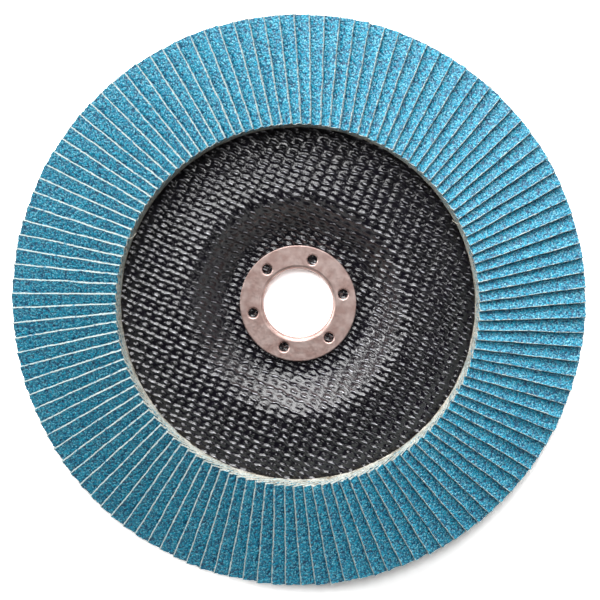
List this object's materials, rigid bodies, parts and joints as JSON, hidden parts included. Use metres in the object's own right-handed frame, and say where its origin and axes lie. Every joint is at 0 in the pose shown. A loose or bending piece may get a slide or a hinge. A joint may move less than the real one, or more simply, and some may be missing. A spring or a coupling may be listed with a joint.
{
  "type": "flap disc",
  "caption": "Conical abrasive flap disc for an angle grinder: overlapping blue cloth flaps glued in a ring on a black glass-fibre and resin backing plate with a steel arbor ring.",
  "frame": {"origin": "centre of the arbor bore on the rear face of the hub, which the disc lies on", "axes": "+Z along the arbor bore, out of the abrasive side; the disc is shortest along Z; +X and +Y lie in the plane of the disc"},
  "size_m": [0.18, 0.18, 0.0169],
  "materials": {
    "glass_resin_laminate": "moulded black phenolic resin over woven glass, satin with glossy high spots",
    "plated_steel": "pressed sheet steel, bright plated",
    "cured_adhesive": "cured resin adhesive, dull",
    "abrasive_cloth": "blue coarse abrasive grit on polyester cloth"
  },
  "bodies": {
    "root": {"backing_plate": "glass_resin_laminate", "arbor_ring": "plated_steel", "adhesive_bed": "cured_adhesive", "flaps_01": "abrasive_cloth", "flaps_02": "abrasive_cloth", "flaps_03": "abrasive_cloth", "flaps_04": "abrasive_cloth", "flaps_05": "abrasive_cloth", "flaps_06": "abrasive_cloth", "flaps_07": "abrasive_cloth", "flaps_08": "abrasive_cloth", "flaps_09": "abrasive_cloth", "flaps_10": "abrasive_cloth", "flaps_11": "abrasive_cloth", "flaps_12": "abrasive_cloth", "flaps_13": "abrasive_cloth", "flaps_14": "abrasive_cloth", "flaps_15": "abrasive_cloth", "flaps_16": "abrasive_cloth", "flaps_17": "abrasive_cloth", "flaps_18": "abrasive_cloth", "flaps_19": "abrasive_cloth", "flaps_20": "abrasive_cloth", "flaps_21": "abrasive_cloth", "flaps_22": "abrasive_cloth", "flaps_23": "abrasive_cloth", "flaps_24": "abrasive_cloth", "flaps_25": "abrasive_cloth", "flaps_26": "abrasive_cloth", "flaps_27": "abrasive_cloth", "flaps_28": "abrasive_cloth", "flaps_29": "abrasive_cloth", "flaps_30": "abrasive_cloth", "flaps_31": "abrasive_cloth", "flaps_32": "abrasive_cloth", "flaps_33": "abrasive_cloth", "flaps_34": "abrasive_cloth", "flaps_35": "abrasive_cloth", "flaps_36": "abrasive_cloth", "flaps_37": "abrasive_cloth", "flaps_38": "abrasive_cloth", "flaps_39": "abrasive_cloth", "flaps_40": "abrasive_cloth"}
  },
  "joints": []
}
